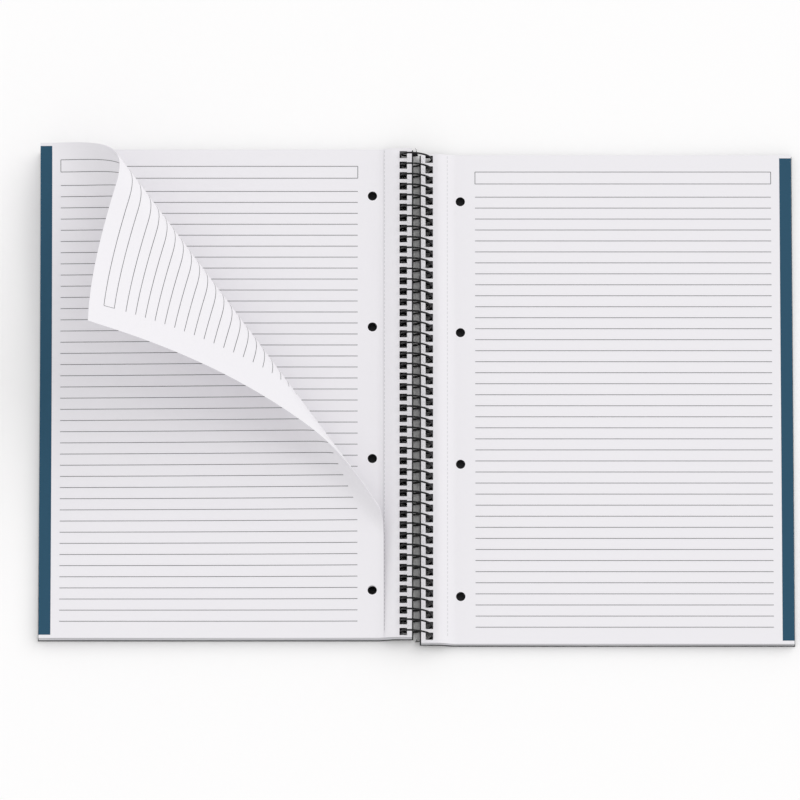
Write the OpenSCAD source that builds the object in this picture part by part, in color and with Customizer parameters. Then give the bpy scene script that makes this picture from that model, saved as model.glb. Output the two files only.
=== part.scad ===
// Open coil-bound notebook, lying on its covers, with one torn leaf curled over.
// The coil's axis runs along Y at x = 0, and z = 0 is the table.

/* [Leaves] */
// Height of a leaf, along the coil
leaf_h = 297; // [290:1:305]
// Reach of a leaf, from the coil's axis to its free edge
leaf_reach = 222; // [205:1:235]
// Gap between the coil's axis and a leaf's bound edge
leaf_inset = 2.7; // [2.4:0.1:3]
// Thickness of the leaves already turned, on the left
turned_t = 6.3; // [4:0.1:6.5]
// Thickness of the leaves still to turn, on the right
unturned_t = 5.2; // [4:0.1:5.5]
// Thickness that the torn leaf and its stub are drawn with
sheet_t = 0.3; // [0.2:0.05:0.4]

/* [Covers] */
// Thickness of a cover
cover_t = 0.8; // [0.5:0.1:0.9]
// Overhang of a cover past the leaves
cover_margin = 0.4; // [0:0.1:1.5]
// Gap between the coil's axis and a cover's bound edge
cover_inset = 1.9; // [1.5:0.1:2.3]

/* [Coil] */
// Radius of the coil, to the middle of its wire
coil_r = 9; // [8.9:0.1:9.6]
// Diameter of the wire
wire_d = 1; // [0.8:0.1:1.1]
// Distance from one turn to the next
coil_pitch = 6.44; // [6.2:0.01:6.46]
// Number of punched holes in each half
punch_count = 46; // [30:1:46]
// Gap between the coil and the table
coil_float = 0.3; // [0.1:0.1:0.5]
// Width of a punched hole, across the coil
punch_w = 4.4; // [4.3:0.1:4.8]
// Clearance round the wire in a punched hole
punch_gap = 0.4; // [0.3:0.05:0.45]
// Gap left between the two halves at the coil when the book is closed
closed_gap = 0.5; // [0.3:0.1:1]

/* [Filing holes] */
// Radius of a filing hole
filing_r = 2.75; // [2:0.05:3]
// Distance from one filing hole to the next
filing_pitch = 80; // [70:1:85]
// Distance of the filing holes from the coil's axis
filing_x = 26; // [24:0.5:30]
// Number of filing holes
filing_count = 4; // [2:1:4]

/* [Print] */
// Distance from one ruled line to the next
line_pitch = 6.7; // [6:0.1:7]
// Width of a ruled line
line_w = 0.35; // [0.2:0.05:0.5]
// Distance of the lines' inner ends from the coil's axis
line_inner = 34.7; // [32:0.1:40]
// Gap between the lines' outer ends and the coloured band
line_outer = 5.1; // [2:0.1:20]
// Distance of the header box from the leaf's top edge
header_top = 10.3; // [6:0.1:14]
// Height of the header box
header_h = 7.3; // [6:0.1:9]
// Least distance of the last ruled line from the leaf's bottom edge
line_foot = 9.9; // [5:0.1:20]
// Gap between the header box and the first line
header_gap = 8.1; // [6:0.1:9]
// Width of the coloured band on the free edge
band_w = 7; // [4:0.5:9]
// Thickness that the print is drawn with
print_t = 0.05; // [0.04:0.01:0.1]

/* [Torn leaf] */
// Distance of the perforation from the coil's axis
tear_x = 19.2; // [17:0.1:21]
// Height above the leaf's middle down to which the torn edge is ragged
tear_end = -70; // [-90:1:-50]
// Gap between the torn leaf and the print under it
sheet_gap = 0.1; // [0.05:0.05:0.3]
// Distance past the coil's axis of the point that the curl fans out from
fan_x = 64; // [50:1:75]
// Distance of that point below the middle of the leaf
fan_y = 186; // [170:1:200]
// Direction in which the leaf starts to lift, seen from that point
lift_angle = 11; // [5:1:14]
// Angle of the fan over which the leaf rises gently
ramp_span = 38.5; // [36:0.5:42]
// Bend of the rising stretch
ramp_bend = 0.18; // [0.05:0.01:0.4]
// Angle of the fan over which the leaf rolls over
roll_span = 10.4; // [9:0.2:12]
// Bend of the roll
roll_bend = 14; // [10:0.5:15]
// Bend of the flap past the roll
flap_bend = -1.6; // [-3:0.1:0]
// Depth of paper that the tear took from the middle of the torn edge
tear_depth = 25; // [1:1:30]

/* [Hidden] */

paper = "whitesmoke";
ink = "dimgray";
band_blue = "#355a78";
cover_black = "#26262a";
wire_black = "#1c1c1f";

// The coil stands just off the table.
axis_z = coil_float + wire_d / 2 + coil_r;
turned_total = cover_t + turned_t + sheet_t;
unturned_total = cover_t + unturned_t;
// The bound edges rise until both halves can close on each other round the axis.
lift = axis_z - (turned_total + unturned_total + closed_gap) / 2;
lift_from = 12;
// They lie flat from the filing holes outwards.
lift_to = filing_x - filing_r;
lift_steps = 12;

// A quarter turn of the coil moves its wire along Y by a quarter of the pitch.
roll_shift = coil_pitch / 4;
half_shift = roll_shift;
// Angle below the axis at which the wire leaves a cover.
exit_angle = asin((axis_z - lift) / coil_r);
exit_drift = coil_pitch * exit_angle / 360;
punch_l = roll_shift + exit_drift + wire_d + 2 * punch_gap;
punch_inner = sqrt(pow(coil_r - wire_d / 2, 2) - pow(axis_z - lift, 2)) - punch_gap;
punch_outer = coil_r + wire_d / 2 + punch_gap;
punch_slant = atan((punch_outer - punch_w - punch_inner) / (axis_z - lift));

wire_steps = 18;
wire_sides = 6;
// The wire's two ends are bent inwards under the notebook, between the two covers.
end_past = 7;
start_angle = -90 - end_past;
end_angle = 270 + end_past;
crimp_angle = 24;
crimp_depth = 3;

// The fan of the torn leaf: a flat stretch, the rise, the roll and the flap.
sheet_base = cover_t + turned_t + print_t + sheet_gap;
fan_margin = 0.2;
fan_first = atan((fan_y - leaf_h / 2) / (leaf_reach + fan_x)) + fan_margin;
fan_last = atan((leaf_h / 2 + fan_y) / (tear_x + fan_x)) - fan_margin;
fan_low_corner = atan((fan_y - leaf_h / 2) / (tear_x + fan_x));
fan_high_corner = atan((leaf_h / 2 + fan_y) / (leaf_reach + fan_x));
fan_spans = [lift_angle, ramp_span, roll_span, 180];
fan_bends = [0, ramp_bend, roll_bend, flap_bend];
fan_breaks = [fan_first, lift_angle, lift_angle + ramp_span, lift_angle + ramp_span + roll_span,
              fan_last];
fan_steps = [8, 14, 20, 10];
fan_stations = 7;

// The ruling fills the page between its margins.
line_len = leaf_reach - band_w - line_outer - line_inner;
first_line = leaf_h / 2 - header_top - header_h - header_gap;
line_count = floor((first_line + leaf_h / 2 - line_foot) / line_pitch) + 1;

eps = 0.01;
round_fn = 48;

// Height that a half's underside has above the table, at a distance from the axis.
function rise(x) =
    let (t = min(1, max(0, (lift_to - x) / (lift_to - lift_from))))
    lift * t * t * (3 - 2 * t);

// Distances from the axis at which a half's outline has a corner.
function stations(inner, outer) =
    [inner, for (i = [0 : lift_steps]) lift_from + (lift_to - lift_from) * i / lift_steps, outer];

// Section of a layer, between two heights above the half's underside.
module layer_section(inner, outer, low, high) {
    xs = stations(inner, outer);
    polygon(concat(
        [for (x = xs) [x, rise(x) + low]],
        [for (i = [len(xs) - 1 : -1 : 0]) [xs[i], rise(xs[i]) + high]]));
}

// A layer drawn along the coil, on the right side.
module layer(inner, outer, low, high, length) {
    translate([0, length / 2, 0]) rotate([90, 0, 0])
        linear_extrude(length) layer_section(inner, outer, low, high);
}

// The right half stays, the left half is its mirror image shifted by half a pitch.
module half(side) {
    translate([0, -side * half_shift, 0]) mirror([side < 0 ? 1 : 0, 0, 0]) children();
}

// Punched holes for the wire. Each slants with the wire's arc.
module punches(side) {
    drift = (roll_shift - exit_drift) / 2 * side + side * half_shift;
    for (k = [0 : punch_count - 1])
        translate([punch_inner, (k - (punch_count - 1) / 2) * coil_pitch
                   + drift - side * roll_shift, lift])
            rotate([0, punch_slant, 0])
                translate([0, -punch_l / 2, -coil_r])
                    cube([punch_w * cos(punch_slant), punch_l, 4 * coil_r]);
}

// Filing holes, down to the cover.
module filing_holes() {
    for (k = [0 : filing_count - 1])
        translate([filing_x, (k - (filing_count - 1) / 2) * filing_pitch, cover_t - 1])
            cylinder(h = 4 * coil_r, r = filing_r, $fn = round_fn);
}

module cover(side) {
    half(side) difference() {
        layer(cover_inset, leaf_reach + cover_margin, 0, cover_t, leaf_h + 2 * cover_margin);
        punches(side);
    }
}

module front_cover() { color(cover_black) cover(-1); }
module back_cover() { color(cover_black) cover(1); }

module leaves(side, top) {
    difference() {
        layer(leaf_inset, leaf_reach, cover_t, top, leaf_h);
        punches(side);
        filing_holes();
    }
}

// The turned leaves carry the stub of the torn leaf between the coil and the perforation.
module turned_leaves() {
    stub_top = cover_t + turned_t + sheet_t;
    color(paper) half(-1) difference() {
        union() {
            layer(leaf_inset, leaf_reach, cover_t, cover_t + turned_t, leaf_h);
            intersection() {
                layer(leaf_inset, leaf_reach, cover_t + turned_t - eps, stub_top, leaf_h);
                translate([0, -leaf_h, 0]) cube([tear_x, 2 * leaf_h, 4 * coil_r]);
            }
        }
        punches(-1);
        filing_holes();
    }
}

module unturned_leaves() {
    color(paper) half(1) leaves(1, cover_t + unturned_t);
}

// Header box and ruled lines, as thin solids on a page whose top is at a height.
module ruling(page_top) {
    box_top = leaf_h / 2 - header_top;
    translate([line_inner, 0, page_top]) {
        difference() {
            translate([0, box_top - header_h, 0]) cube([line_len, header_h, print_t]);
            translate([line_w, box_top - header_h + line_w, -1])
                cube([line_len - 2 * line_w, header_h - 2 * line_w, 3]);
        }
    }
}

module rules(page_top) {
    for (k = [0 : line_count - 1])
        translate([line_inner, first_line - k * line_pitch - line_w / 2, page_top])
            cube([line_len, line_w, print_t]);
}

module page_print(page_top) {
    color(ink) {
        ruling(page_top);
        rules(page_top);
    }
}

module band(page_top) {
    color(band_blue)
        translate([leaf_reach - band_w, -leaf_h / 2, page_top])
            cube([band_w, leaf_h, print_t]);
}

module turned_ruling() {
    half(-1) page_print(cover_t + turned_t);
}

module unturned_ruling() {
    half(1) page_print(cover_t + unturned_t);
}

module turned_band() {
    half(-1) band(cover_t + turned_t);
}

module unturned_band() {
    half(1) band(cover_t + unturned_t);
}

// Turns a direction about an axis.
function turned(v, axis, angle) =
    v * cos(angle) + cross(axis, v) * sin(angle) + axis * (axis * v) * (1 - cos(angle));

// The torn leaf is a fan of straight lines. One angle of the fan has a line's direction and the
// leaf's upward normal there. Each stretch of the fan has a span and a bend of its own.
function fan_frame(angle, part = 0, along = [1, 0, 0], up = [0, 0, 1]) =
    let (span = fan_spans[part], bend = fan_bends[part], w = sqrt(1 + bend * bend),
         axis = (bend * along + up) / w,
         used = part == len(fan_spans) - 1 ? angle : min(angle, span),
         next = [turned(along, axis, w * used), turned(up, axis, w * used)])
    used == angle ? next : fan_frame(angle - span, part + 1, next[0], next[1]);

// Share of the ragged edge, from its foot to the leaf's top, at which a fan line leaves the leaf.
// It solves depth against height, because the edge bows away from the perforation.
function tear_share(angle) =
    let (grow = 4 * tear_depth * tan(angle),
         run = leaf_h / 2 - tear_end,
         above = (tear_x + fan_x) * tan(angle) - fan_y - tear_end,
         half_run = (run - grow) / 2)
    above <= 0 ? 0 : min(1, (sqrt(half_run * half_run + grow * above) - half_run) / grow);

// Paper missing from the torn edge where a fan line crosses it.
function tear_cut(angle) = 4 * tear_depth * tear_share(angle) * (1 - tear_share(angle));

// Reach of a fan line to where it enters the leaf, and to where it leaves it.
function fan_inner(angle) =
    max((tear_x + fan_x + tear_cut(angle)) / cos(angle), (fan_y - leaf_h / 2) / sin(angle));
function fan_outer(angle) =
    min((leaf_reach + fan_x) / cos(angle), (leaf_h / 2 + fan_y) / sin(angle));

// A point of the torn leaf: its share of the way out along a fan line, and its depth in the paper.
function fan_point(angle, share, depth) =
    let (f = fan_frame(angle),
         r = fan_inner(angle) + share * (fan_outer(angle) - fan_inner(angle)))
    [-fan_x, -fan_y, sheet_base + rise(r * cos(angle) - fan_x)] + r * f[0] + depth * f[1];

// Angles of the fan, with one more where the leaf has a corner.
function with_corner(angles, corner) =
    [for (i = [0 : len(angles) - 1])
        each i < len(angles) - 1 && corner > angles[i] + eps && corner < angles[i + 1] - eps
            ? [angles[i], corner] : [angles[i]]];

module lifted_sheet() {
    even = [for (p = [0 : 3], i = [0 : fan_steps[p] - 1])
        fan_breaks[p] + (fan_breaks[p + 1] - fan_breaks[p]) * i / fan_steps[p]];
    angles = with_corner(with_corner(concat(even, [fan_last]), fan_low_corner), fan_high_corner);
    row = fan_stations + 1;
    side = len(angles) * row;
    last = len(angles) - 1;
    color(paper) half(-1) difference() {
        polyhedron(
            points = [for (depth = [0, sheet_t], a = angles, j = [0 : fan_stations])
                fan_point(a, pow(j / fan_stations, 1.6), depth)],
            faces = concat(
                [for (i = [0 : last - 1], j = [0 : fan_stations - 1])
                    let (a = i * row + j)
                    each [[a, a + 1, a + row], [a + row, a + 1, a + row + 1]]],
                [for (i = [0 : last - 1], j = [0 : fan_stations - 1])
                    let (a = side + i * row + j)
                    each [[a, a + row, a + 1], [a + row, a + row + 1, a + 1]]],
                [for (i = [0 : last - 1])
                    let (a = i * row)
                    each [[a, a + row, a + side], [a + row, a + row + side, a + side]]],
                [for (i = [0 : last - 1])
                    let (a = i * row + fan_stations)
                    each [[a, a + side, a + row], [a + row, a + side, a + row + side]]],
                [for (j = [0 : fan_stations - 1])
                    each [[j, j + side, j + 1], [j + 1, j + side, j + 1 + side]]],
                [for (j = [0 : fan_stations - 1])
                    let (a = last * row + j)
                    each [[a, a + 1, a + side], [a + 1, a + 1 + side, a + side]]]));
        translate([filing_x, -(filing_count - 1) / 2 * filing_pitch, 0])
            cylinder(h = 4 * coil_r, r = filing_r, $fn = round_fn);
    }
}

// Radius of the helix at an angle: its two ends are bent inwards.
function helix_r(a, last) =
    let (near = min(a - start_angle, last - a))
    coil_r - crimp_depth * pow(max(0, 1 - near / crimp_angle), 2);

// A point of the wire's middle line. The angle starts at the left hole and runs over the top.
function helix_point(a, last) =
    let (r = helix_r(a, last), first_y = roll_shift + (punch_count - 1) / 2 * coil_pitch)
    [-r * cos(a), first_y - coil_pitch * a / 360, axis_z + r * sin(a)];

// One ring of the wire's skin, square to the wire.
function wire_ring(a, last) =
    let (p = helix_point(a, last),
         out = [-cos(a), 0, sin(a)],
         along = [2 * PI * coil_r * sin(a), -coil_pitch, 2 * PI * coil_r * cos(a)],
         side = cross(along / norm(along), out))
    [for (s = [0 : wire_sides - 1])
        p + wire_d / 2 * (cos(360 * s / wire_sides) * out + sin(360 * s / wire_sides) * side)];

module wire_coil() {
    last = (punch_count - 1) * 360 + end_angle;
    n = ceil((last - start_angle) / 360 * wire_steps);
    rings = [for (i = [0 : n]) wire_ring(start_angle + (last - start_angle) * i / n, last)];
    color(wire_black) polyhedron(
        points = [for (r = rings) each r],
        faces = concat(
            [[for (s = [0 : wire_sides - 1]) s]],
            [for (i = [0 : n - 1], s = [0 : wire_sides - 1])
                let (a = i * wire_sides + s, b = i * wire_sides + (s + 1) % wire_sides)
                each [[a, a + wire_sides, b], [b, a + wire_sides, b + wire_sides]]],
            [[for (s = [wire_sides - 1 : -1 : 0]) n * wire_sides + s]]));
}

wire_coil();
front_cover();
back_cover();
turned_leaves();
unturned_leaves();
lifted_sheet();
turned_ruling();
unturned_ruling();
turned_band();
unturned_band();
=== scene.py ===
import bpy
import math
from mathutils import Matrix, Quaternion, Vector


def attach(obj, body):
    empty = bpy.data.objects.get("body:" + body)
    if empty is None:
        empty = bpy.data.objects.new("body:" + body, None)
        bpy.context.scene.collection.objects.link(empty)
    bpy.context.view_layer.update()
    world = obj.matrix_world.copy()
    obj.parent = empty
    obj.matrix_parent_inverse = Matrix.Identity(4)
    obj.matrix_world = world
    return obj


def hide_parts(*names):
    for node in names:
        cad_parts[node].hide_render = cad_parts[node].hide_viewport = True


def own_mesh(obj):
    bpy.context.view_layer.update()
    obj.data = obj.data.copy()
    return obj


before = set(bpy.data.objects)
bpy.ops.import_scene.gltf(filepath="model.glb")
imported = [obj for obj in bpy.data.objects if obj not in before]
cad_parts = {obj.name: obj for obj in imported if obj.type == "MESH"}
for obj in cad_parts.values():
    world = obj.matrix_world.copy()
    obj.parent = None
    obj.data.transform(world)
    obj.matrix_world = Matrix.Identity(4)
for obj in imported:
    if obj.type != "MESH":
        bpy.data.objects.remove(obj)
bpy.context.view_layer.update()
MM = 0.001

# %% [markdown]
# This is an open coil-bound notebook seen from above. Its solids come from model.glb and stay where
# they are. What is added here is what a solid can't show well: the wire as one smooth spiral, the
# printed ruling, and the thin leaf that is torn along its perforation and curled over.
# The sizes below are in millimetres. They repeat the ones that the solids were built from, but the
# wire and the printed lines are a little thicker here, as the photograph shows them.
# Distances across a page start at the coil's axis, and those along it at the page's middle.

# %% Sizes of the page
PAGE_H = 297
REACH = 222
PERF_X = 19.2
FILING_X = 26
FILING_TOP = 120
FILING_R = 2.75
SHEET_H = 0.3

# The turns of the coil are one pitch apart, and each half is shifted by a quarter of it.
PITCH = 6.44
HALF_SHIFT = PITCH / 4

# Heights of the two page tops, and the curve in which both halves rise to the coil.
LEFT_TOP = 7.1
RIGHT_TOP = 6.0
RISE = 2.85
RISE_FROM = 12
RISE_TO = FILING_X - FILING_R

# The print lies just above the paper, so that the two never share a face.
INK_LIFT = 0.06
BAND_W = 7
BAND_MARGIN = 1.9
BAND_INSET = 0.05
LINE_W = 0.36
LINE_PITCH = 6.7
LINE_COUNT = 40
LINE_IN = 34.7
LINE_MARGIN = 5.1
LINE_OUT = REACH - BAND_W - LINE_MARGIN
HEAD_MARGIN = 10.3
HEAD_H = 7.3
HEAD_GAP = 8.1
HEAD_TOP = PAGE_H / 2 - HEAD_MARGIN
FIRST_LINE = HEAD_TOP - HEAD_H - HEAD_GAP


def rise(x):
    """Height that a half gains at a distance x from the coil's axis."""
    t = min(1, max(0, (RISE_TO - x) / (RISE_TO - RISE_FROM)))
    return RISE * t * t * (3 - 2 * t)


print("page", REACH, "by", PAGE_H, "mm, bound edge lifted by", RISE)

# %% [markdown]
# Selecting is the first habit in edit mode: an operator acts on all that is selected, and the loaded
# solids come in selected. So each piece starts from an empty selection.

# %% Helpers for starting and finishing a piece
def clear_selection():
    bpy.ops.object.select_all(action="DESELECT")


def pick(obj):
    clear_selection()
    obj.select_set(True)
    bpy.context.view_layer.objects.active = obj


def settle(obj, name):
    """Gives a piece its name and puts its place into its mesh."""
    pick(obj)
    bpy.ops.object.transform_apply(location=True, rotation=True, scale=True)
    obj.name = name
    obj.data.name = name


def apply_modifier(obj, kind, **values):
    pick(obj)
    modifier = obj.modifiers.new(kind.lower(), kind)
    for key, value in values.items():
        setattr(modifier, key, value)
    bpy.ops.object.modifier_apply(modifier=modifier.name)


def join(objects, name):
    clear_selection()
    for obj in objects:
        obj.select_set(True)
    bpy.context.view_layer.objects.active = objects[0]
    bpy.ops.object.join()
    settle(objects[0], name)
    return objects[0]


def face_outwards(obj, smooth_angle):
    """Turns a piece's faces outwards, and smooths the edges that bend less than the angle."""
    pick(obj)
    bpy.ops.object.mode_set(mode="EDIT")
    bpy.ops.mesh.select_all(action="SELECT")
    bpy.ops.mesh.normals_make_consistent(inside=False)
    bpy.ops.object.mode_set(mode="OBJECT")
    bpy.ops.object.shade_smooth_by_angle(angle=math.radians(smooth_angle))


def add_math(tree, operation, first, second=None):
    """Adds a math node fed by outputs of other nodes or by plain numbers."""
    node = tree.nodes.new("ShaderNodeMath")
    node.operation = operation
    for socket, value in zip(node.inputs, (first, second)):
        if isinstance(value, bpy.types.NodeSocket):
            tree.links.new(value, socket)
        elif value is not None:
            socket.default_value = value
    return node.outputs[0]


print("helpers ready")


# %% [markdown]
# Writing paper is a dull, faintly blue white, and up close it has a soft cloud of fibres. The board,
# the ink and the coating of the wire use the same cloud, so it is a node group with its own sockets.

# %% The fibre group
def make_fibre_group():
    group = bpy.data.node_groups.new("fibre", "ShaderNodeTree")
    sockets = group.interface
    for name, kind, start in (("Color", "NodeSocketColor", (1, 1, 1, 1)),
                              ("Scale", "NodeSocketFloat", 900),
                              ("Mottle", "NodeSocketFloat", 0.03),
                              ("Depth", "NodeSocketFloat", 0.1)):
        socket = sockets.new_socket(name=name, in_out="INPUT", socket_type=kind)
        socket.default_value = start
    sockets.new_socket(name="Color", in_out="OUTPUT", socket_type="NodeSocketColor")
    sockets.new_socket(name="Normal", in_out="OUTPUT", socket_type="NodeSocketVector")
    nodes = group.nodes
    links = group.links
    given = nodes.new("NodeGroupInput")
    result = nodes.new("NodeGroupOutput")
    place = nodes.new("ShaderNodeTexCoord")
    noise = nodes.new("ShaderNodeTexNoise")
    noise.inputs["Detail"].default_value = 4
    links.new(place.outputs["Object"], noise.inputs["Vector"])
    links.new(given.outputs["Scale"], noise.inputs["Scale"])
    darker = nodes.new("ShaderNodeMixRGB")
    darker.blend_type = "MULTIPLY"
    darker.inputs["Color2"].default_value = (0.5, 0.5, 0.5, 1)
    amount = add_math(group, "MULTIPLY", noise.outputs["Fac"], given.outputs["Mottle"])
    links.new(amount, darker.inputs["Fac"])
    links.new(given.outputs["Color"], darker.inputs["Color1"])
    links.new(darker.outputs["Color"], result.inputs["Color"])
    bump = nodes.new("ShaderNodeBump")
    bump.inputs["Distance"].default_value = 0.0001
    links.new(given.outputs["Depth"], bump.inputs["Strength"])
    links.new(noise.outputs["Fac"], bump.inputs["Height"])
    links.new(bump.outputs["Normal"], result.inputs["Normal"])
    return group


FIBRE = make_fibre_group()
print("fibre group has", len(FIBRE.nodes), "nodes")


# %% A material that uses it
def make_material(name, color, roughness, mottle, depth, scale=900, specular=0.5):
    material = bpy.data.materials.new(name)
    material.use_nodes = True
    nodes = material.node_tree.nodes
    links = material.node_tree.links
    shader = nodes["Principled BSDF"]
    shader.inputs["Roughness"].default_value = roughness
    shader.inputs["Specular IOR Level"].default_value = specular
    fibre = nodes.new("ShaderNodeGroup")
    fibre.node_tree = FIBRE
    fibre.inputs["Color"].default_value = (*color, 1)
    fibre.inputs["Mottle"].default_value = mottle
    fibre.inputs["Depth"].default_value = depth
    fibre.inputs["Scale"].default_value = scale
    links.new(fibre.outputs["Color"], shader.inputs["Base Color"])
    links.new(fibre.outputs["Normal"], shader.inputs["Normal"])
    return material


PAPER_WHITE = (0.858, 0.842, 0.872)
BAND_BLUE = (0.018, 0.078, 0.136)
INK_GREY = (0.16, 0.16, 0.17)
BOARD_BLACK = (0.014, 0.014, 0.017)
CUT_SHADE_GREY = (0.66, 0.66, 0.68)
paper = make_material("paper", PAPER_WHITE, roughness=0.75, mottle=0.03, depth=0.15, specular=0.2)
ink = make_material("ruling_ink", INK_GREY, roughness=0.8, mottle=0.2, depth=0.1)
band_ink = make_material("band_ink", BAND_BLUE, roughness=0.65, mottle=0.12, depth=0.1,
                         scale=500, specular=0.25)
board = make_material("cover_board", BOARD_BLACK, roughness=0.55, mottle=0.25, depth=0.4,
                      scale=400)
# The perforation's grey is painted shade inside the slits.
perf_painted_shade = make_material("perforation_shade", CUT_SHADE_GREY, roughness=0.9, mottle=0.1, depth=0.1)
print("materials:", [m.name for m in bpy.data.materials])

# %% [markdown]
# A stack of leaves shows its edges as hundreds of fine lines. They come from the height of a point
# on the piece, and only on faces that don't look up. The dark lines are painted shade between the
# leaves, and both greys are darker than the paper, as painted shade on the edge faces. The walls of
# the punched holes and of the filing holes are in deep shade. So the edges close to the coil are
# painted dark, apart from the outer edges of the stack at its head and foot.

# %% The leaf edges
LEAF_LINE_SCALE = 1100
LEAF_DRIFT_SCALE = 6
# Painted shade: the dark lines stand for shade between the leaves, and both greys lie below the
# paper's white for the shade on the edge faces.
EDGE_SHADE_DARK = (0.36, 0.36, 0.38)
EDGE_SHADE_LIGHT = (0.74, 0.74, 0.76)
HOLE_SHADE = (0.045, 0.045, 0.048)
HOLE_ZONE = 30
END_EDGE = 1.7
HOLE_END = PAGE_H / 2 - END_EDGE
LOOKS_UP = 0.7


def make_leaf_edges():
    material = make_material("leaf_edges", PAPER_WHITE, roughness=0.8, mottle=0.03, depth=0.1,
                             specular=0.2)
    tree = material.node_tree
    nodes = tree.nodes
    links = tree.links
    shader = nodes["Principled BSDF"]
    fibre = next(n for n in nodes if n.type == "GROUP")
    place = nodes.new("ShaderNodeTexCoord")
    split = nodes.new("ShaderNodeSeparateXYZ")
    links.new(place.outputs["Object"], split.inputs["Vector"])
    waves = nodes.new("ShaderNodeTexNoise")
    stretch = nodes.new("ShaderNodeMapping")
    stretch.inputs["Scale"].default_value = (LEAF_DRIFT_SCALE, LEAF_DRIFT_SCALE, LEAF_LINE_SCALE)
    links.new(place.outputs["Object"], stretch.inputs["Vector"])
    links.new(stretch.outputs["Vector"], waves.inputs["Vector"])
    waves.inputs["Scale"].default_value = 1
    waves.inputs["Detail"].default_value = 2
    ramp = nodes.new("ShaderNodeValToRGB")
    ramp.color_ramp.elements[0].position = 0.38
    ramp.color_ramp.elements[0].color = (*EDGE_SHADE_DARK, 1)
    ramp.color_ramp.elements[1].position = 0.62
    ramp.color_ramp.elements[1].color = (*EDGE_SHADE_LIGHT, 1)
    links.new(waves.outputs["Fac"], ramp.inputs["Fac"])
    across = add_math(tree, "ABSOLUTE", split.outputs["X"])
    along = add_math(tree, "ABSOLUTE", split.outputs["Y"])
    near_coil = add_math(tree, "LESS_THAN", across, HOLE_ZONE * MM)
    off_ends = add_math(tree, "LESS_THAN", along, HOLE_END * MM)
    in_hole = add_math(tree, "MULTIPLY", near_coil, off_ends)
    shade = nodes.new("ShaderNodeMixRGB")
    shade.inputs["Color2"].default_value = (*HOLE_SHADE, 1)
    links.new(ramp.outputs["Color"], shade.inputs["Color1"])
    links.new(in_hole, shade.inputs["Fac"])
    up = nodes.new("ShaderNodeSeparateXYZ")
    links.new(place.outputs["Normal"], up.inputs["Vector"])
    on_page = add_math(tree, "GREATER_THAN", up.outputs["Z"], LOOKS_UP)
    both = nodes.new("ShaderNodeMixRGB")
    links.new(on_page, both.inputs["Fac"])
    links.new(shade.outputs["Color"], both.inputs["Color1"])
    links.new(fibre.outputs["Color"], both.inputs["Color2"])
    links.new(both.outputs["Color"], shader.inputs["Base Color"])
    return material


leaf_edges = make_leaf_edges()
print("leaf edges:", len(leaf_edges.node_tree.nodes), "nodes")

# %% [markdown]
# The coil is steel wire in a thin black coating. It is dark all round, with at most a faint streak of
# light along each turn, which a weak coat over the dark base gives.

# %% The wire finish
COATING_BLACK = (0.005, 0.005, 0.006)
wire_black = make_material("wire_black", COATING_BLACK, roughness=0.5, mottle=0.2, depth=0.2,
                           scale=2500, specular=0.25)
wire_shader = wire_black.node_tree.nodes["Principled BSDF"]
wire_shader.inputs["Coat Weight"].default_value = 0.08
wire_shader.inputs["Coat Roughness"].default_value = 0.2
print("wire finish made")


# %% Finishes of the solids that stay
def finish_solid(node, material):
    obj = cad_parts[node]
    if not obj.material_slots:
        obj.data.materials.append(material)
    for slot in obj.material_slots:
        slot.material = material


for node in ("turned_leaves", "unturned_leaves"):
    finish_solid(node, leaf_edges)
for node in ("front_cover", "back_cover"):
    finish_solid(node, board)
print("solids finished")

# %% [markdown]
# The wire is one long spring. It starts as a circle of the wire's thickness, placed on the coil's
# radius, and the Screw modifier carries it round, one pitch down the notebook for each turn.
# Both cut ends lie under the notebook, a little past the lowest point, and are bent inwards so that
# they don't catch. END_PAST, SWEEP and CRIMP are in degrees, and START is in radians. The angle is 0
# at the left of the coil and -90 degrees at its lowest point.

# %% The wire coil
COIL_R = 9
WIRE_R = 0.55
WIRE_SIDES = 10
TURNS = 46
AXIS_Z = 9.8
END_PAST = 7
START = math.radians(-90 - END_PAST)
SWEEP = TURNS * 360 + 2 * END_PAST
STEPS = 40
CRIMP = 24
CRIMP_DEPTH = 3
FIRST_Y = HALF_SHIFT + (TURNS - 1) / 2 * PITCH


def make_coil():
    clear_selection()
    ring = (-COIL_R * math.cos(START), 0, COIL_R * math.sin(START))
    bpy.ops.mesh.primitive_circle_add(vertices=WIRE_SIDES, radius=WIRE_R * MM,
                                      location=[v * MM for v in ring], rotation=(0, START, 0))
    wire = bpy.context.object
    settle(wire, "wire_spiral")
    apply_modifier(wire, "SCREW", axis="Y", angle=math.radians(SWEEP / TURNS),
                   screw_offset=-PITCH * SWEEP / TURNS / 360 * MM,
                   iterations=TURNS, steps=STEPS, render_steps=STEPS)
    top = (FIRST_Y - PITCH * math.degrees(START) / 360) * MM
    for vertex in wire.data.vertices:
        turned = -vertex.co.y / MM / PITCH * 360
        near = min(turned, SWEEP - turned)
        bend = 1 - CRIMP_DEPTH / COIL_R * max(0, 1 - near / CRIMP) ** 2
        vertex.co.x *= bend
        vertex.co.z = vertex.co.z * bend + AXIS_Z * MM
        vertex.co.y += top
    return wire


def close_ends(tube):
    """Fills the open ends of a tube."""
    pick(tube)
    bpy.ops.object.mode_set(mode="EDIT")
    bpy.ops.mesh.select_mode(type="EDGE")
    bpy.ops.mesh.select_all(action="DESELECT")
    bpy.ops.mesh.select_non_manifold()
    bpy.ops.mesh.edge_face_add()
    bpy.ops.object.mode_set(mode="OBJECT")


coil = make_coil()
close_ends(coil)
face_outwards(coil, 60)
coil.data.materials.append(wire_black)
print("coil:", len(coil.data.polygons), "faces, box", [round(v, 4) for v in coil.dimensions])

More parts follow.
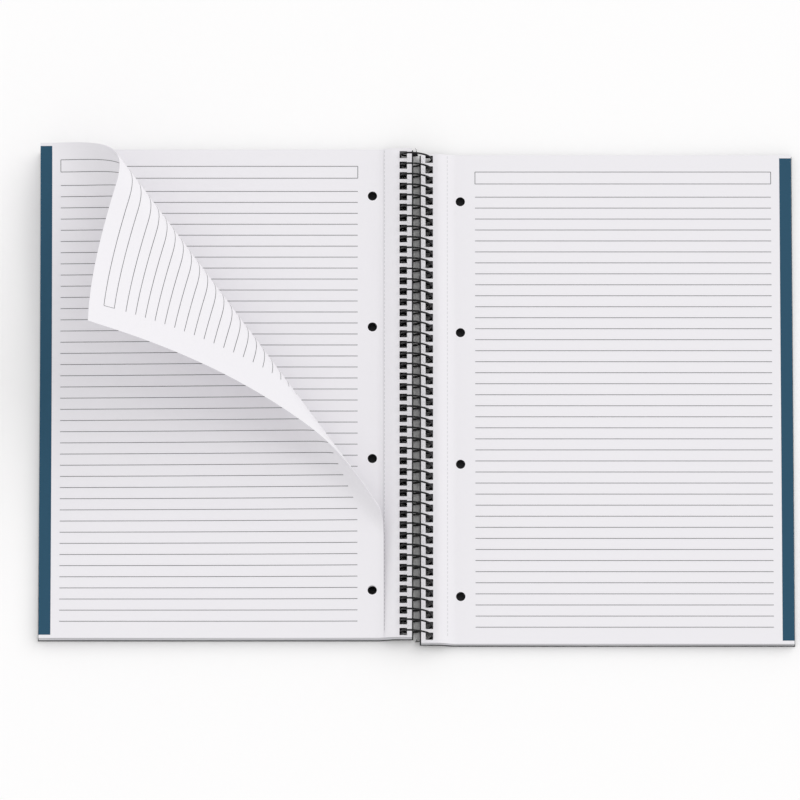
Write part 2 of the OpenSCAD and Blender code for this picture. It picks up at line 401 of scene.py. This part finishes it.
# %% [markdown]
# The torn leaf is a developable surface, as bent paper always is: straight lines fan out from one
# point beyond its foot, and the paper turns about each of them in order. A stretch without bend lies
# flat, a small bend lets it rise, a strong one rolls it over, and a weak one the other way opens the
# flap again. So one formula carries a point of the flat leaf to its place in space.

# %% The fan of the torn leaf
FAN_X = 64
FAN_Y = 186
FAN_SPANS = (11, 38.5, 10.4, 180)
FAN_BENDS = (0, 0.18, 14, -1.6)
TEAR_END = -70
TEAR_DEPTH = 25
LEAF_GAP = 0.15
LEAF_BASE = LEFT_TOP + LEAF_GAP


def fan_frame(angle):
    """Direction of a fan line and the leaf's upward normal along it."""
    along = Vector((1, 0, 0))
    up = Vector((0, 0, 1))
    left = math.radians(angle)
    for span, bend in zip(FAN_SPANS, FAN_BENDS):
        used = min(left, math.radians(span))
        axis = along * bend + up
        turn = Quaternion(axis.normalized(), used * axis.length)
        along = turn @ along
        up = turn @ up
        left -= used
        if left <= 0:
            break
    return along, up


def tear_cut(y):
    """Paper missing from the torn edge at a height on the flat leaf."""
    share = min(1, max(0, (y - TEAR_END) / (PAGE_H / 2 - TEAR_END)))
    return 4 * TEAR_DEPTH * share * (1 - share)


def on_torn_leaf(x, y, height):
    """Place in space of a point of the flat leaf, as far above its lower side as height says."""
    along, up = fan_frame(math.degrees(math.atan2(y + FAN_Y, x + FAN_X)))
    point = along * math.hypot(x + FAN_X, y + FAN_Y) + up * height
    return Vector((FAN_X - point.x, point.y - FAN_Y + HALF_SHIFT,
                   point.z + LEAF_BASE + rise(x))) * MM


def on_left_page(x, y, height):
    return Vector((-x, y + HALF_SHIFT, LEFT_TOP + rise(x) + height)) * MM


def on_right_page(x, y, height):
    return Vector((x, y - HALF_SHIFT, RIGHT_TOP + rise(x) + height)) * MM


print("tip of the torn leaf at", [round(v, 4) for v in on_torn_leaf(PERF_X, PAGE_H / 2, 0)])


# %% [markdown]
# Every printed thing is modelled flat, in the page's own coordinates, and then laid on a surface by
# moving its points through the formula. That keeps the print exactly where the paper goes.

# %% Laying a flat piece on a surface
def lay(obj, surface, height):
    """Moves a flat piece onto a surface, as far above it as height says."""
    for vertex in obj.data.vertices:
        flat = vertex.co / MM
        vertex.co = surface(flat.x, flat.y, flat.z + height)
    obj.data.update()


def draw_back(obj, inner, outer):
    """Draws the inner end of a flat piece back with the torn edge. Its outer end stays."""
    for vertex in obj.data.vertices:
        x, y = vertex.co.x / MM, vertex.co.y / MM
        share = (outer - x) / (outer - inner)
        vertex.co.x = (x + share * tear_cut(y)) * MM


def flat_grid(name, x_low, x_high, y_low, y_high, columns, rows):
    clear_selection()
    size = Vector((x_high - x_low, y_high - y_low, 1)) * MM
    middle = Vector((x_high + x_low, y_high + y_low, 0)) / 2 * MM
    bpy.ops.mesh.primitive_grid_add(x_subdivisions=columns, y_subdivisions=rows, size=1,
                                    location=middle)
    obj = bpy.context.object
    obj.scale = size
    settle(obj, name)
    return obj


print("the torn edge is drawn back by up to", TEAR_DEPTH, "mm")

# %% The torn leaf
LEAF_COLUMNS = 110
LEAF_ROWS = 150
PUNCH_SIDES = 48
PUNCH_DEPTH = 4


def make_leaf():
    sheet = flat_grid("torn_leaf", PERF_X, REACH, -PAGE_H / 2, PAGE_H / 2, LEAF_COLUMNS, LEAF_ROWS)
    draw_back(sheet, PERF_X, REACH)
    apply_modifier(sheet, "SOLIDIFY", thickness=SHEET_H * MM, offset=1)
    clear_selection()
    bpy.ops.mesh.primitive_cylinder_add(vertices=PUNCH_SIDES, radius=FILING_R * MM,
                                        depth=PUNCH_DEPTH * MM,
                                        location=(FILING_X * MM, -FILING_TOP * MM, 0))
    punch = bpy.context.object
    apply_modifier(sheet, "BOOLEAN", object=punch, operation="DIFFERENCE", solver="EXACT")
    bpy.data.objects.remove(punch)
    lay(sheet, on_torn_leaf, 0)
    face_outwards(sheet, 40)
    sheet.data.materials.append(paper)
    return sheet


leaf = make_leaf()
print("torn leaf:", len(leaf.data.polygons), "faces, top at", round(leaf.bound_box[1][2], 4))

# %% [markdown]
# The ruling is a header frame and forty thin lines. One line is modelled and the Array modifier
# repeats it down the page. The frame is two long rails and two short stiles. All of them are cut
# across often enough to follow the curl of the torn leaf.

# %% The ruling, flat
LINE_CUTS = 90
STILE_CUTS = 6
BACK_MARGIN = 17.4
BACK_LINE_IN = PERF_X + BACK_MARGIN


def flat_ruling(name, inner):
    half = LINE_W / 2
    line = flat_grid(name, inner, LINE_OUT, FIRST_LINE - half, FIRST_LINE + half, LINE_CUTS, 1)
    apply_modifier(line, "ARRAY", count=LINE_COUNT, use_relative_offset=False,
                   use_constant_offset=True, constant_offset_displace=(0, -LINE_PITCH * MM, 0))
    foot = HEAD_TOP - HEAD_H
    rails = [flat_grid("rail", inner, LINE_OUT, y - half, y + half, LINE_CUTS, 1)
             for y in (HEAD_TOP, foot)]
    stiles = [flat_grid("stile", x - half, x + half, foot, HEAD_TOP, 1, STILE_CUTS)
              for x in (inner, LINE_OUT)]
    return join([line] + rails + stiles, name)


left_ruling = flat_ruling("left_page_ruling", LINE_IN)
lay(left_ruling, on_left_page, INK_LIFT)
right_ruling = flat_ruling("right_page_ruling", LINE_IN)
lay(right_ruling, on_right_page, INK_LIFT)
front_ruling = flat_ruling("torn_leaf_front_ruling", LINE_IN)
draw_back(front_ruling, LINE_IN, LINE_OUT)
lay(front_ruling, on_torn_leaf, SHEET_H + INK_LIFT)
back_ruling = flat_ruling("torn_leaf_back_ruling", BACK_LINE_IN)
draw_back(back_ruling, BACK_LINE_IN, LINE_OUT)
lay(back_ruling, on_torn_leaf, -INK_LIFT)
for piece in (left_ruling, right_ruling, front_ruling, back_ruling):
    piece.data.materials.append(ink)
print("ruling:", [len(p.data.polygons) for p in (left_ruling, front_ruling)], "faces")


# %% [markdown]
# Each page has a blue band printed to its free edge. It is a flat strip with enough cross cuts to
# follow the torn leaf where that lifts.

# %% The bands
BAND_COLUMNS = 6
BAND_ROWS = 150


def make_band(name, surface, height):
    end = PAGE_H / 2 - BAND_MARGIN
    strip = flat_grid(name, REACH - BAND_W, REACH - BAND_INSET, -end, end, BAND_COLUMNS, BAND_ROWS)
    lay(strip, surface, height)
    strip.data.materials.append(band_ink)
    return strip


left_band = make_band("left_page_band", on_left_page, INK_LIFT)
right_band = make_band("right_page_band", on_right_page, INK_LIFT)
leaf_band = make_band("torn_leaf_band", on_torn_leaf, SHEET_H + INK_LIFT)
print("bands:", len(leaf_band.data.polygons), "faces each")

# %% [markdown]
# The perforation is a row of short cuts, drawn as grey strips of painted shade that stand for the
# shade inside the slits. On the right page it shows as a faint broken line. On the left the stub of
# the torn leaf ends in it, so the cuts lie along the stub's edge.

# %% The perforation
CUT_LEN = 1.5
CUT_GAP = 1.0
CUT_W = 0.3
LEFT_CUT_IN = 0.35
RIGHT_CUT_IN = 0.9


def make_perforation(name, x, surface, height):
    count = int(PAGE_H / (CUT_LEN + CUT_GAP)) - 1
    top = PAGE_H / 2 - CUT_GAP
    cut = flat_grid(name, x - CUT_W / 2, x + CUT_W / 2, top - CUT_LEN, top, 1, 1)
    apply_modifier(cut, "ARRAY", count=count, use_relative_offset=False, use_constant_offset=True,
                   constant_offset_displace=(0, -(CUT_LEN + CUT_GAP) * MM, 0))
    lay(cut, surface, height)
    cut.data.materials.append(perf_painted_shade)
    return cut


left_perf = make_perforation("left_perforation", PERF_X - LEFT_CUT_IN, on_left_page,
                             SHEET_H + INK_LIFT)
right_perf = make_perforation("right_perforation", PERF_X - RIGHT_CUT_IN, on_right_page, INK_LIFT)
print("perforation cuts:", len(right_perf.data.polygons))

# %% [markdown]
# Every piece now rides on the half or the coil that it belongs to. When the notebook closes, the
# curled leaf is pressed flat, so it and its print squash towards the page.

# %% Riding, replacing and squashing
# The perforation strips sit in ink slots, but their grey is painted shade inside the slits.
coil_slots = ((coil, "coil", "wire", ("wire_coil",)),)
back_slots = ((right_ruling, "back_half", "ink", ("unturned_ruling",)),
              (right_band, "back_half", "band", ("unturned_band",)),
              (right_perf, "back_half", "ink", ()))
front_slots = ((left_ruling, "front_half", "ink", ("turned_ruling",)),
               (left_band, "front_half", "band", ("turned_band",)),
               (left_perf, "front_half", "ink", ()),
               (leaf, "front_half", "paper", ("lifted_sheet",)),
               (front_ruling, "front_half", "ink", ()),
               (back_ruling, "front_half", "ink", ()),
               (leaf_band, "front_half", "band", ()))
for piece, body, slot, nodes in coil_slots + back_slots + front_slots:
    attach(piece, body)
    if nodes:
        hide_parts(*nodes)
for piece in (leaf, front_ruling, back_ruling, leaf_band):
    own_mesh(piece)
print("pieces ride on", sorted({row[1] for row in coil_slots + back_slots + front_slots}))

# %% [markdown]
# The notebook lies on a white table. The table must look white to the camera and still hold the soft
# shadow, so it is a plain white diffuse surface under a light level at which white renders as white.

# %% The table
TABLE_SIZE = 12
TABLE_WHITE = (0.99, 0.985, 0.985)


def make_table():
    clear_selection()
    bpy.ops.mesh.primitive_plane_add(size=TABLE_SIZE, location=(0, 0, 0))
    table = bpy.context.object
    table.name = "table"
    material = bpy.data.materials.new("table_white")
    material.use_nodes = True
    shader = material.node_tree.nodes["Principled BSDF"]
    shader.inputs["Base Color"].default_value = (*TABLE_WHITE, 1)
    shader.inputs["Roughness"].default_value = 1
    shader.inputs["Specular IOR Level"].default_value = 0
    table.data.materials.append(material)
    return table


table = make_table()
print("table", [round(v, 2) for v in table.dimensions])

# %% [markdown]
# An even white surrounding gives most of the light. One broad lamp shines from the upper right, and
# adds the soft shadow on the table to the left.

# %% Light
WORLD_LEVEL = 0.85
LAMP_LEVEL = 0.66
LAMP_ANGLE = math.radians(50)
LAMP_TURN = (math.radians(-24), math.radians(38), 0)


def make_lights():
    world = bpy.data.worlds.new("studio")
    bpy.context.scene.world = world
    world.use_nodes = True
    background = world.node_tree.nodes["Background"]
    background.inputs["Color"].default_value = (1, 1, 1, 1)
    background.inputs["Strength"].default_value = WORLD_LEVEL
    clear_selection()
    bpy.ops.object.light_add(type="SUN", rotation=LAMP_TURN)
    lamp = bpy.context.object
    lamp.name = "soft_lamp"
    lamp.data.energy = LAMP_LEVEL
    lamp.data.angle = LAMP_ANGLE


make_lights()

# %% [markdown]
# The picture is taken from far above, tilted a little towards the reader, with a long lens. So both
# pages look almost square, and only the near edges of the stacks show.

# %% Camera
CAMERA_TILT = math.radians(14)
CAMERA_FAR = 7.5
CAMERA_LENS = 571.7
SENSOR_W = 36
LOOK_AT = Vector((-0.0097, -0.0011, 0))


def make_camera():
    clear_selection()
    away = Vector((0, -math.sin(CAMERA_TILT), math.cos(CAMERA_TILT))) * CAMERA_FAR
    bpy.ops.object.camera_add(location=LOOK_AT + away, rotation=(CAMERA_TILT, 0, 0))
    camera = bpy.context.object
    camera.name = "camera"
    camera.data.lens = CAMERA_LENS
    camera.data.sensor_width = SENSOR_W
    camera.data.clip_end = 100
    bpy.context.scene.camera = camera


make_camera()
bpy.context.scene.view_settings.view_transform = "Standard"
print("camera at", [round(v, 3) for v in bpy.context.scene.camera.location])
